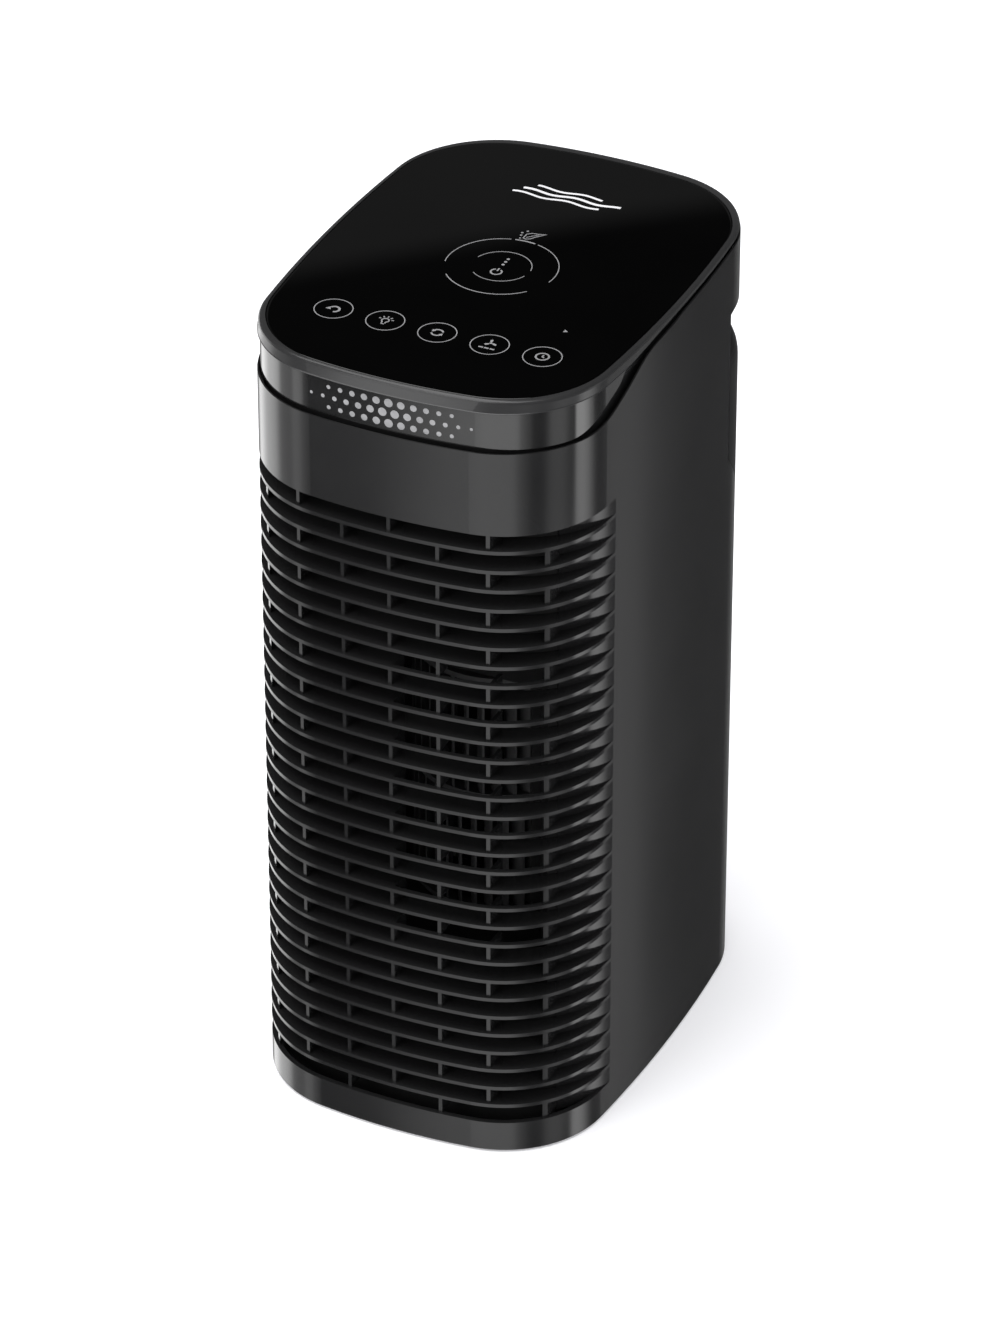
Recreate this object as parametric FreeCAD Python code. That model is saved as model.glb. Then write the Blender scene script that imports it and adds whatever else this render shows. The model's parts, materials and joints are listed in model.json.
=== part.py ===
import FreeCAD, Part
import math
import os

# Tower air purifier.  Millimetres, +Z up, front faces -Y, +X to the right seen from
# the front.  The origin is on the floor, under the middle of the body.

V = FreeCAD.Vector

# ---------------------------------------------------------------- driving sizes
HEIGHT = 462.5            # floor to the top of the control glass
HALF_W = 100.7            # half of the body width
HALF_D = 137.4            # half of the body depth
R_FRONT = 348.4           # bow of the front wall in plan
R_REAR = 341.0            # bow of the rear wall
R_SIDE = 905.0            # bow of the side walls
SIDE_MID_Y = 4.0          # where the sides are widest
CORNER_FRONT = 60.0       # plan radius of the front corners
CORNER_REAR = 62.0        # plan radius of the rear corners
WALL = 3.0                # casing wall
CASING_BOTTOM = 1.5       # casing skirt above the floor
SEAM_Y = -62.0            # the front grille and the shell meet here, flush
FAR = 150.0               # beyond the body, for cutting shapes

# front louvres
SLAT_PITCH = 11.51
SLAT_COUNT = 31
SLAT_T = 2.1
TOP_SLAT_Z = 375.7
BAND_BOTTOM = 385.75      # lower edge of the plain band above the louvres
SKIRT_TOP = 19.25         # upper edge of the plain band below them
SLOT_DEPTH = 17.0         # from the front face to the slot floor
FLOOR_CORNER = 56.6       # plan radius of the slot floor at the corners
FLOOR_RUNOUT = 0.3        # the floor runs out through the side by this much
RIB_T = 2.0
RIB_SETBACK = 1.5
RIBS_ODD = (-53.7, 0.0, 53.7)
RIBS_EVEN = (-79.6, -27.0, 27.0, 79.6)
NOTCHED_SLATS = range(8, 23, 2)   # these are cut back in front of the blower
NOTCH_X = (1.0, 78.6)

# edges seen from the side, each as points y, z and a far end
SWEEP = ((-108.0, 433.6), (-96.0, 433.7), (-86.0, 434.8), (-76.0, 436.9), (-66.0, 440.6),
         (-56.0, 444.8), (-46.0, 449.6), (-36.0, 453.2), (-24.0, 454.7), (-6.0, 455.5),
         (20.0, 457.0), (FAR, 458.6))          # upper edge of the casing
BAND_CURVE = ((-108.0, 435.0), (-98.0, 436.2), (-88.0, 440.2), (-76.0, 445.4), (-64.0, 450.6),
              (-52.0, 456.5), (FAR, 470.0))    # lower edge of the indicator band
RIM_CURVE = ((-70.0, 456.1), (-56.0, 456.5), (-46.0, 457.3), (-34.0, 458.6), (-20.0, 459.5),
             (0.0, 460.1), (30.0, 460.4), (FAR, 460.6))    # lower edge of the rim
LIP_T = 1.0               # thin outer lip along that edge
LIP_H = 5.0

# control head
GLASS_T = 3.4
GLASS_FRONT = 6.3         # insets of the glass from the body's plan
GLASS_SIDE = 3.6
GLASS_REAR = 7.1
GLASS_CORNER = 57.4
GLASS_GAP = 0.2
# sections of the rim from its foot to the glass: z, then front, side and rear insets
RIM_SECTIONS = ((455.0, 1.1, 0.15, 0.6), (456.4, 1.1, 0.15, 0.6), (456.65, 1.55, 0.32, 0.7),
                (460.6, 3.6, 0.45, 0.9), (461.4, 4.1, 0.75, 1.3), (461.85, 4.5, 1.15, 2.0),
                (462.15, 4.95, 1.65, 3.0), (462.38, 5.5, 2.4, 4.6))
BAND_T = 2.5              # thickness of the smoked indicator band

# rear cover and grip
COVER_Y = 100.0
EAR_Y = 75.0
COVER_BOTTOM = 22.0
EAR_LOW = 302.0
EAR_HIGH = 331.0
COVER_TOP = 395.5
GRIP_EDGE = 419.5
GRIP_INSET = 4.6
GRIP_DROP = 10.0
GAP = 0.6                 # seam round the cover
COVER_T = 2.5
COVER_SHOULDER = ((13.0, 0.0), (9.5, 0.2), (6.5, 0.75), (4.0, 1.65), (2.0, 2.9), (0.8, 4.2),
                  (0.0, 6.0))      # below the top, inset
POCKET_HALF = 60.0
POCKET_Y = 106.0

# filters
BAY_HALF = 74.5
BAY_LOW = 28.0
BAY_HIGH = 376.0
BAY_FRONT = 68.5
BAY_BACK = 112.0
BAY_T = 2.0

# blower
FAN_Y = 4.0
FAN_R = 50.0
FAN_BORE_R = 40.0
FAN_LOW = 89.0
FAN_HIGH = 239.0
BLADES = 36
SCROLL_LOW = 84.0
SCROLL_HIGH = 244.0
SCROLL_T = 2.0
SHAFT_R = 4.0
DUCT_Y = -92.0
MOUTH_Y = -46.0
WINDOW_HALF = 76.0
WINDOW_TOP = 298.0

TRAY_Z = 392.0
TRAY_T = 2.5
DECK_Z = 446.5            # plate of the head chassis
HEAD_LOW = 424.0          # foot of its skirt

FLOOR_T = 2.5             # thickness of the wall behind the louvres
CHEEK_X = 80.0            # the casing's own share of that wall starts here

# base and fasteners
BASE_LOW = 3.0
BASE_TOP = 5.6
UPSTAND_TOP = 14.0
FEET = (64.0, -84.0, 84.0)
FOOT_STEM = 3.5
SCREW_R = 1.5
HEAD_R = 3.2
HEAD_H = 2.0
BOSS_X = 91.0
BOSS_R = 5.0
BOSS_TOP = 24.0
BOSS_FRONT = -30.0
BOSS_BACK = 40.0
GLAND_X = 40.0
GLAND_Z = 13.9
GLAND_R = 6.2
CORD_R = 3.6

# blower fittings
MOUTH_LEFT = -70.0
MOUTH_RIGHT = 45.0
INLET_R = 43.0
BLOWER_FEET = ((72.0, -20.0), (-80.0, -25.0), (66.0, 44.0), (-74.0, 44.0))
POST_TOP = 78.0
BUSH_R = 7.0
MOTOR_LOW = 265.0
MOTOR_HIGH = 306.0
MOTOR_R = 33.0

# filters
HEPA_HALF = 73.5
HEPA_FRONT = 71.0
HEPA_BACK = 102.0
PRE_HALF = 73.0
PRE_FRONT = 105.0
PRE_BACK = 111.0

# rear cover details
INTAKE_LOW = 40.0
INTAKE_HIGH = 360.0
INTAKE_PITCH = 9.0
INTAKE_SLOT = 5.0
INTAKE_STEP = 30.0
LATCH_SHELF = 382.0
LATCH_LOW = 388.0
LATCH_HIGH = 398.0
LATCH_Y = 125.5
LATCH_HALF = 11.0
SPRING_BENDS = 3
SPRING_HALF = 3.4
LINER_LOW = 381.0
LINER_HIGH = 421.0

# electronics
POWER_Z = 400.0
POWER_HALF = 52.0
POWER_FRONT = -60.0
POWER_BACK = 20.0
TOUCH_Z = 453.5
HEAD_BOSS = (84.0, -40.0, 60.0)
BAND_END = -45.0          # the indicator band stops here on each side
KEY_STEP = 29.4           # touch rings
KEY_Y = -76.4
DIAL_Y = 0.6              # centre of the round power dial


# ---------------------------------------------------------------- plain helpers
def save(name, shape):
    """Write one sub-part to its own STEP file."""
    shape.exportStep("parts/" + name + ".step")
    print(name, len(shape.Solids), round(shape.Volume / 1000.0, 2), shape.isValid())


def box(x0, x1, y0, y1, z0, z1):
    return Part.makeBox(x1 - x0, y1 - y0, z1 - z0, V(x0, y0, z0))


def rod(x, y, z0, z1, r):
    return Part.makeCylinder(r, z1 - z0, V(x, y, z0))


def rod_y(x, y0, y1, z, r):
    return Part.makeCylinder(r, y1 - y0, V(x, y0, z), V(0, 1, 0))


def mirror_x(p):
    return V(-p.x, p.y, p.z)


def plate(points):
    """A flat face in the XY plane through the given x, y points."""
    corners = [V(x, y, 0) for x, y in points]
    return Part.Face(Part.makePolygon(corners + corners[:1]))


def rect(x0, x1, y0, y1):
    return plate(((x0, y0), (x1, y0), (x1, y1), (x0, y1)))


def prism(face, z0, z1):
    """Stand a flat XY shape up between two heights."""
    lifted = face.copy()
    lifted.translate(V(0, 0, z0))
    return lifted.extrude(V(0, 0, z1 - z0))


def side_prism(points, half=FAR):
    """Extrude a y, z polygon right across the body."""
    corners = [V(-half, y, z) for y, z in points]
    return Part.Face(Part.makePolygon(corners + corners[:1])).extrude(V(2 * half, 0, 0))


# ---------------------------------------------------------------- plan outline
def circles_meet(c1, r1, c2, r2):
    """The meeting point of two circles that has the larger x."""
    line = c2 - c1
    gap = line.Length
    along = (r1 * r1 - r2 * r2 + gap * gap) / (2 * gap)
    off = math.sqrt(r1 * r1 - along * along)
    unit = line * (1 / gap)
    foot = c1 + unit * along
    side = V(-unit.y, unit.x, 0) * off
    return max((foot + side, foot - side), key=lambda p: p.x)


def on_circle(centre, towards, radius):
    direction = towards - centre
    return centre + direction * (radius / direction.Length)


def arc_between(centre, radius, p, q):
    middle = on_circle(centre, (p + q) * 0.5, radius)
    return Part.Arc(p, middle, q).toShape()


def outline(front, side=None, rear=None, corner_f=None, corner_r=None, shift=0.0):
    """The body's plan as a face, moved in from the outside by these insets."""
    side = front if side is None else side
    rear = side if rear is None else rear
    corner_f = CORNER_FRONT - front if corner_f is None else corner_f
    corner_r = CORNER_REAR - rear if corner_r is None else corner_r
    front_c = V(0, -HALF_D + R_FRONT, 0)
    rear_c = V(0, HALF_D - R_REAR, 0)
    side_c = V(HALF_W - R_SIDE, SIDE_MID_Y, 0)
    front_r = R_FRONT - front
    rear_r = R_REAR - rear
    side_r = R_SIDE - side
    cf = circles_meet(front_c, front_r - corner_f, side_c, side_r - corner_f)
    cr = circles_meet(rear_c, rear_r - corner_r, side_c, side_r - corner_r)
    a = on_circle(front_c, cf, front_r)
    b = on_circle(side_c, cf, side_r)
    c = on_circle(side_c, cr, side_r)
    d = on_circle(rear_c, cr, rear_r)
    half = [arc_between(cf, corner_f, a, b),
            arc_between(side_c, side_r, b, c),
            arc_between(cr, corner_r, c, d)]
    other = [arc_between(mirror_x(cr), corner_r, mirror_x(d), mirror_x(c)),
             arc_between(mirror_x(side_c), side_r, mirror_x(c), mirror_x(b)),
             arc_between(mirror_x(cf), corner_f, mirror_x(b), mirror_x(a))]
    front_arc = Part.Arc(mirror_x(a), front_c - V(0, front_r, 0), a).toShape()
    rear_arc = Part.Arc(d, rear_c + V(0, rear_r, 0), mirror_x(d)).toShape()
    face = Part.Face(Part.Wire([front_arc] + half + [rear_arc] + other))
    face.translate(V(0, shift, 0))
    return face


def ring(outer, inner):
    return outline(outer).cut(outline(inner))


def floor_outline(extra=0.0):
    """Plan of the floors of the front slots, which run out through the sides."""
    return outline(SLOT_DEPTH + extra, extra - FLOOR_RUNOUT, corner_f=FLOOR_CORNER - extra)


def glass_outline(extra=0.0):
    corner = GLASS_CORNER - extra
    return outline(GLASS_FRONT + extra, GLASS_SIDE + extra, GLASS_REAR + extra, corner, corner)


def above(curve, raise_by=0.0):
    """Everything above a swept edge, across the whole width."""
    points = [V(-FAR, y, z + raise_by) for y, z in curve]
    start = V(-FAR, -FAR, points[0].z)
    end = points.pop()
    top = HEIGHT + 30.0
    spline = Part.BSplineCurve()
    spline.interpolate(Points=points, InitialTangent=V(0, 1, 0), FinalTangent=end - points[-1])
    edges = [Part.makeLine(start, points[0]), spline.toShape(), Part.makeLine(points[-1], end),
             Part.makeLine(end, V(-FAR, end.y, top)),
             Part.makeLine(V(-FAR, end.y, top), V(-FAR, -FAR, top)),
             Part.makeLine(V(-FAR, -FAR, top), start)]
    return Part.Face(Part.Wire(edges)).extrude(V(2 * FAR, 0, 0))


def stack(sections):
    """A solid through flat plan sections, given as (z, face)."""
    wires = []
    for z, face in sections:
        face = face.copy()
        face.translate(V(0, 0, z))
        wires.append(face.OuterWire)
    return Part.makeLoft(wires, True, True)


# ---------------------------------------------------------------- casing
def slat_z(i):
    return TOP_SLAT_Z - SLAT_PITCH * (i - 1)


def slot_cutters():
    """One cutter for each slot between the louvres, with its ribs left standing."""
    outside = rect(-FAR, FAR, -FAR, -20.0).cut(floor_outline())
    inner = outline(RIB_SETBACK)
    faces = []
    for ribs in (RIBS_EVEN, RIBS_ODD):
        bars = [rect(x - RIB_T / 2, x + RIB_T / 2, -FAR, -60.0).common(inner) for x in ribs]
        faces.append(outside.cut(bars))
    cutters = []
    for row in range(1, SLAT_COUNT + 2):
        high = BAND_BOTTOM if row == 1 else slat_z(row - 1) - SLAT_T / 2
        low = SKIRT_TOP if row > SLAT_COUNT else slat_z(row) + SLAT_T / 2
        cutters.append(prism(faces[row % 2], low, high))
    shallow = outline(WALL).cut(floor_outline()).common(rect(*NOTCH_X, -FAR, 0.0))
    for i in NOTCHED_SLATS:
        z = slat_z(i)
        cutters.append(prism(shallow, z - SLAT_T / 2, z + SLAT_T / 2))
    return cutters


def rear_window():
    """The gap in the casing that the rear cover and the grip fill."""
    top = GRIP_EDGE - GRIP_DROP * WALL / GRIP_INSET
    return side_prism(((COVER_Y, COVER_BOTTOM), (COVER_Y, EAR_LOW), (EAR_Y, EAR_HIGH),
                       (EAR_Y, top), (FAR, top), (FAR, COVER_BOTTOM)))


def grip_bevel():
    """The slope under the casing's edge above the grip."""
    low = outline(GRIP_INSET)
    low.translate(V(0, 0, GRIP_EDGE - GRIP_DROP))
    high = outline(0.0)
    high.translate(V(0, 0, GRIP_EDGE))
    taper = Part.makeLoft([low.OuterWire, high.OuterWire], True, True)
    return box(-FAR, FAR, EAR_Y, FAR, GRIP_EDGE - GRIP_DROP, GRIP_EDGE).cut(taper)


def four(x, y_front, y_back):
    return ((x, y_front), (-x, y_front), (x, y_back), (-x, y_back))


def casing():
    """The whole outer skin; it is moulded in two parts that are welded at SEAM_Y."""
    shell = prism(ring(0.0, WALL), CASING_BOTTOM, HEIGHT)
    louvres = prism(outline(WALL).cut(floor_outline()), SKIRT_TOP, BAND_BOTTOM)
    back = floor_outline().common(outline(WALL - 0.01)).cut(floor_outline(FLOOR_T))
    cheeks = [prism(back.common(rect(min(x, s * FAR), max(x, s * FAR), -FAR, -55.0)),
                    16.0, BAND_BOTTOM + 6.0) for s, x in ((1, CHEEK_X), (-1, -CHEEK_X))]
    bosses = []
    for x, y in four(BOSS_X, BOSS_FRONT, BOSS_BACK):
        block = box(x - BOSS_R, x + BOSS_R, y - BOSS_R, y + BOSS_R, 6.0, BOSS_TOP)
        wall = box(min(x, x * 1.08), max(x, x * 1.08), y - BOSS_R, y + BOSS_R, 6.0, BOSS_TOP)
        inside = prism(outline(WALL - 0.5), 0.0, 60.0)
        bosses.append(block.fuse(wall).common(inside))
    body = shell.fuse([louvres] + cheeks + bosses)
    cuts = slot_cutters() + [above(SWEEP), rear_window(), grip_bevel()]
    cuts.append(above(SWEEP, -LIP_H).common(prism(outline(LIP_T), 400.0, 500.0)))
    cuts += [rod(x, y, 0.0, BOSS_TOP - 4.0, SCREW_R + 0.05) for x, y in
             four(BOSS_X, BOSS_FRONT, BOSS_BACK)]
    cuts.append(rod_y(GLAND_X, 120.0, FAR, GLAND_Z, GLAND_R + 0.2))
    return body.cut(cuts).removeSplitter()


def base_pan():
    """Bottom tray with an upstand inside the casing and posts for the blower."""
    upstand = prism(outline(3.4).cut(outline(5.8)), BASE_TOP, UPSTAND_TOP)
    clear = [box(min(x, x * 1.2) - 6.0, max(x, x * 1.2) + 6.0, y - 6.0, y + 6.0, BASE_TOP, 30.0)
             for x, y in four(BOSS_X, BOSS_FRONT, BOSS_BACK)]
    clear.append(box(GLAND_X - 12.0, GLAND_X + 12.0, 110.0, FAR, BASE_TOP, 30.0))
    ribs = [box(x - 1.0, x + 1.0, -95.0, 64.0, BASE_TOP, 11.0) for x in (-30.0, 0.0, 30.0)]
    ribs += [box(-62.0, 62.0, y - 1.0, y + 1.0, BASE_TOP, 11.0) for y in (-70.0, -5.0, 60.0)]
    posts = [rod(x, y, BASE_TOP, POST_TOP, 6.0) for x, y in BLOWER_FEET]
    pan = prism(outline(3.4), BASE_LOW, BASE_TOP).fuse([upstand.cut(clear)] + ribs + posts)
    holes = [rod(x, y, 0.0, 8.0, SCREW_R + 0.3) for x, y in four(BOSS_X, BOSS_FRONT, BOSS_BACK)]
    holes += [rod(x, y, 0.0, 8.0, FOOT_STEM + 0.1) for x, y in four(*FEET)]
    holes += [rod(x, y, POST_TOP - 14.0, POST_TOP, SCREW_R + 0.05) for x, y in BLOWER_FEET]
    return pan.cut(holes).removeSplitter()


def rubber_feet():
    feet = []
    for x, y in four(*FEET):
        pad = rod(x, y, 0.0, BASE_LOW, 9.0)
        pad = pad.makeChamfer(0.8, [e for e in pad.Edges if e.BoundBox.ZMax < 0.1])
        feet.append(pad.fuse([rod(x, y, BASE_LOW, BASE_TOP + 2.5, FOOT_STEM)]).removeSplitter())
    return Part.makeCompound(feet)


def screw(x, y, seat, length, up=1, shank=None):
    """A pan-head screw whose head sits on the plane z = seat; up=1 drives it upward."""
    shank = SCREW_R if shank is None else shank
    head_low = seat - HEAD_H if up > 0 else seat
    shank_low = seat if up > 0 else seat - length
    head = rod(x, y, head_low, head_low + HEAD_H, HEAD_R)
    rim = [e for e in head.Edges if abs(e.BoundBox.ZMin - (head_low if up > 0 else
           head_low + HEAD_H)) < 0.01 and abs(e.BoundBox.ZMax - e.BoundBox.ZMin) < 0.01]
    head = head.makeFillet(0.7, rim)
    z = head_low if up > 0 else head_low + HEAD_H - 1.0
    cross = [box(x - 1.6, x + 1.6, y - 0.35, y + 0.35, z, z + 1.0),
             box(x - 0.35, x + 0.35, y - 1.6, y + 1.6, z, z + 1.0)]
    return head.cut(cross).fuse(rod(x, y, shank_low, shank_low + length, shank))


def screws(places, seat, length, up=1):
    return Part.makeCompound([screw(x, y, seat, length, up) for x, y in places])


# ---------------------------------------------------------------- outlet
def outlet_baffle():
    """Curved wall behind the louvres, with a collar round the air outlet."""
    wall = floor_outline(0.3).cut(floor_outline(FLOOR_T))
    inside = CHEEK_X - 0.5
    wall = prism(wall.common(rect(-inside, inside, -FAR, -55.0)), BASE_TOP, TRAY_Z)
    t = BAY_T
    low, high = SCROLL_LOW + SCROLL_T, WINDOW_TOP
    hole = box(-WINDOW_HALF, WINDOW_HALF, -FAR, 0.0, low, high)
    collar = box(-WINDOW_HALF - t, WINDOW_HALF + t, -FAR, DUCT_Y - 0.3, low - t, high + t)
    collar = collar.common(prism(floor_outline(0.3), 0.0, HEIGHT))
    return wall.fuse(collar).cut(hole).removeSplitter()


def duct_section(y, x0, x1, z0, z1, extra):
    x0, x1, z0, z1 = x0 - extra, x1 + extra, z0 - extra, z1 + extra
    return Part.makePolygon([V(x0, y, z0), V(x1, y, z0), V(x1, y, z1), V(x0, y, z1), V(x0, y, z0)])


def duct_loft(extra, over=0.0):
    low = SCROLL_LOW + SCROLL_T
    mouth = duct_section(MOUTH_Y - 0.2 + over, MOUTH_LEFT, MOUTH_RIGHT, low,
                         SCROLL_HIGH - SCROLL_T, extra)
    window = duct_section(DUCT_Y - over, -WINDOW_HALF, WINDOW_HALF, low, WINDOW_TOP, extra)
    return Part.makeLoft([mouth, window], True, True)


def outlet_duct():
    return duct_loft(SCROLL_T).cut(duct_loft(0.0)).removeSplitter()


# ---------------------------------------------------------------- blower
def scroll_point(angle, radius):
    a = math.radians(angle)
    return V(radius * math.cos(a), FAN_Y + radius * math.sin(a), 0)


def scroll_face(extra):
    """Plan of the volute; the air turns anticlockwise seen from above."""
    tongue = scroll_point(-50.0, 53.0 + extra)
    back = scroll_point(90.0, 58.0 + extra)
    left = scroll_point(180.0, 66.0 + extra)
    corner_l = V(MOUTH_LEFT - extra, MOUTH_Y - extra, 0)
    corner_r = V(MOUTH_RIGHT + extra, MOUTH_Y - extra, 0)
    edges = [Part.Arc(tongue, scroll_point(20.0, 55.5 + extra), back).toShape(),
             Part.Arc(back, scroll_point(135.0, 61.5 + extra), left).toShape(),
             Part.makeLine(left, corner_l), Part.makeLine(corner_l, corner_r),
             Part.makeLine(corner_r, tongue)]
    return Part.Face(Part.Wire(edges))


def blower_housing(upper):
    """Half of the volute: an end wall with the air inlet, and the side wall."""
    middle = (SCROLL_LOW + SCROLL_HIGH) / 2
    wall = scroll_face(SCROLL_T).cut(scroll_face(0.0)).cut(rect(-FAR, FAR, -FAR, MOUTH_Y))
    end = scroll_face(SCROLL_T).cut(rect(-FAR, FAR, -FAR, MOUTH_Y))
    if upper:
        side = prism(wall, middle + 0.1, SCROLL_HIGH)
        end_z, seam_z = (SCROLL_HIGH - SCROLL_T, SCROLL_HIGH), (middle + 0.1, middle + 3.0)
        lip_z = (SCROLL_HIGH - 5.0, SCROLL_HIGH)
    else:
        side = prism(wall, SCROLL_LOW, middle - 0.1)
        end_z, seam_z = (SCROLL_LOW, SCROLL_LOW + SCROLL_T), (middle - 3.0, middle - 0.1)
        lip_z = (SCROLL_LOW, SCROLL_LOW + 5.0)
    flange = scroll_face(SCROLL_T + 3.0).cut(scroll_face(SCROLL_T - 0.1))
    flange = flange.cut(rect(-FAR, FAR, -FAR, MOUTH_Y)).common(rect(-FAR, FAR, -FAR, 65.0))
    body = side.fuse([prism(end, *end_z), prism(flange, *seam_z)])
    lip = rod(0, FAN_Y, lip_z[0], lip_z[1], INLET_R + 2.0)
    body = body.fuse(lip)
    if not upper:
        lugs = [box(min(x, 0.0) - 7.0 * (x < 0), max(x, 0.0) + 7.0 * (x > 0), y - 7.0, y + 7.0,
                    SCROLL_LOW, SCROLL_LOW + 3.0) for x, y in BLOWER_FEET]
        body = body.fuse([lug.cut(prism(scroll_face(0.0), SCROLL_LOW + 1.0, 200.0))
                          for lug in lugs])
        body = body.cut([rod(x, y, 70.0, 100.0, SCREW_R + 0.3) for x, y in BLOWER_FEET])
    inlet = rod(0, FAN_Y, lip_z[0] - 1.0, lip_z[1] + 1.0, INLET_R)
    return body.cut(inlet).removeSplitter()


def blower_grommets():
    rings = [rod(x, y, POST_TOP, SCROLL_LOW, 6.5).cut(rod(x, y, 0, 100, SCREW_R + 0.3))
             for x, y in BLOWER_FEET]
    return Part.makeCompound(rings)


def blade_face(angle):
    """Section of one forward-curved blade."""
    def point(radius, turn):
        return scroll_point(angle + turn, radius)
    half = 0.7
    back = Part.Arc(point(FAN_BORE_R, -half), point(45.5, 2.2 - half), point(FAN_R, 7.0 - half))
    face = Part.Arc(point(FAN_R, 7.0 + half), point(45.5, 2.2 + half), point(FAN_BORE_R, half))
    edges = [back.toShape(), Part.makeLine(back.EndPoint, face.StartPoint),
             face.toShape(), Part.makeLine(face.EndPoint, back.StartPoint)]
    return Part.Face(Part.Wire(edges))


def fan_half(low, high, ring_low, turn):
    """Blades between the middle plate and an end ring."""
    blades = [prism(blade_face(turn + 360.0 * i / BLADES), low, high) for i in range(BLADES)]
    end = rod(0, FAN_Y, ring_low, ring_low + 3.0, FAN_R + 0.5)
    end = end.cut(rod(0, FAN_Y, ring_low, ring_low + 3.0, FAN_R - 6.0))
    return end.fuse(blades).removeSplitter()


def fan_plate():
    """Middle plate and hub of the blower wheel."""
    middle = (FAN_LOW + FAN_HIGH) / 2
    disc = rod(0, FAN_Y, middle - 1.5, middle + 1.5, FAN_R + 0.3)
    cone = Part.makeCone(24.0, 11.0, 12.0, V(0, FAN_Y, middle + 1.5))
    hub = rod(0, FAN_Y, middle - 14.0, middle + 16.0, 10.0)
    bore = rod(0, FAN_Y, 0.0, HEIGHT, SHAFT_R + 0.02)
    flat = box(-10.0, 10.0, FAN_Y + 3.3, FAN_Y + 10.0, middle - 20.0, middle + 20.0)
    return disc.fuse([cone, hub]).cut(bore.cut(flat)).removeSplitter()


def fan_shaft():
    middle = (FAN_LOW + FAN_HIGH) / 2
    shaft = rod(0, FAN_Y, 72.0, MOTOR_HIGH + 1.0, SHAFT_R)
    flat = box(-10.0, 10.0, FAN_Y + 3.28, FAN_Y + 10.0, middle - 20.0, middle + 20.0)
    return shaft.cut(flat)


def fan_clips():
    """Retaining rings on the shaft, under and over the hub."""
    middle = (FAN_LOW + FAN_HIGH) / 2
    rings = []
    for z in (middle - 15.2, middle + 16.1):
        ring_ = rod(0, FAN_Y, z, z + 1.0, 7.0).cut(rod(0, FAN_Y, z, z + 1.0, SHAFT_R + 0.02))
        rings.append(ring_.cut(box(-1.5, 1.5, FAN_Y - 9.0, FAN_Y, z, z + 1.0)))
    return Part.makeCompound(rings)


def spider(z_ring, z_arms, hub_r, hub_z):
    """A ring on the blower housing with three arms to a hub on the fan's axis."""
    outer = rod(0, FAN_Y, z_ring[0], z_ring[1], 49.5)
    outer = outer.cut(rod(0, FAN_Y, z_ring[0], z_ring[1], INLET_R))
    parts = [rod(0, FAN_Y, hub_z[0], hub_z[1], hub_r)]
    low, high = min(z_ring[0], z_arms[0]), max(z_ring[1], z_arms[1])
    for k in range(3):
        turn = 30.0 + 120.0 * k
        arm = box(0.0, 49.0, FAN_Y - 5.0, FAN_Y + 5.0, z_arms[0], z_arms[1])
        leg = box(45.0, 49.0, FAN_Y - 5.0, FAN_Y + 5.0, low, high)
        for piece in (arm, leg):
            piece.rotate(V(0, FAN_Y, 0), V(0, 0, 1), turn)
            parts.append(piece)
    return outer.fuse(parts)


def motor_mount():
    body = spider((SCROLL_HIGH, SCROLL_HIGH + 3.0), (MOTOR_LOW - 3.5, MOTOR_LOW), 34.0,
                  (MOTOR_LOW - 3.5, MOTOR_LOW))
    cuts = [rod(0, FAN_Y, 200.0, 300.0, 9.0)]
    cuts += [rod(x, y, 200.0, 300.0, SCREW_R + 0.2) for x, y in motor_holes()]
    return body.cut(cuts).removeSplitter()


def motor_holes():
    places = []
    for k in range(3):
        p = scroll_point(90.0 + 120.0 * k, 20.0)
        places.append((p.x, p.y))
    return places


def lower_spider():
    body = spider((SCROLL_LOW - 3.0, SCROLL_LOW), (SCROLL_LOW - 8.0, SCROLL_LOW - 4.5), 11.0,
                  (SCROLL_LOW - 12.0, SCROLL_LOW - 3.0))
    return body.cut(rod(0, FAN_Y, 60.0, 100.0, BUSH_R)).removeSplitter()


def shaft_bush():
    low, high = SCROLL_LOW - 12.0, SCROLL_LOW - 3.0
    return rod(0, FAN_Y, low, high, BUSH_R).cut(rod(0, FAN_Y, low, high, SHAFT_R + 0.04))


def motor_can():
    can = rod(0, FAN_Y, MOTOR_LOW, MOTOR_HIGH - 4.0, MOTOR_R)
    can = can.cut(rod(0, FAN_Y, MOTOR_LOW + 2.0, MOTOR_HIGH, MOTOR_R - 1.5))
    seat = rod(0, FAN_Y, MOTOR_LOW, MOTOR_LOW + 7.0, 11.0)
    can = can.fuse(seat).cut(rod(0, FAN_Y, MOTOR_LOW + 1.0, MOTOR_LOW + 7.0, 9.0))
    cuts = [rod(0, FAN_Y, 0.0, HEIGHT, 6.0)]
    cuts += [rod(x, y, 0.0, MOTOR_LOW + 2.0, SCREW_R + 0.05) for x, y in motor_holes()]
    return can.cut(cuts).removeSplitter()


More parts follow.
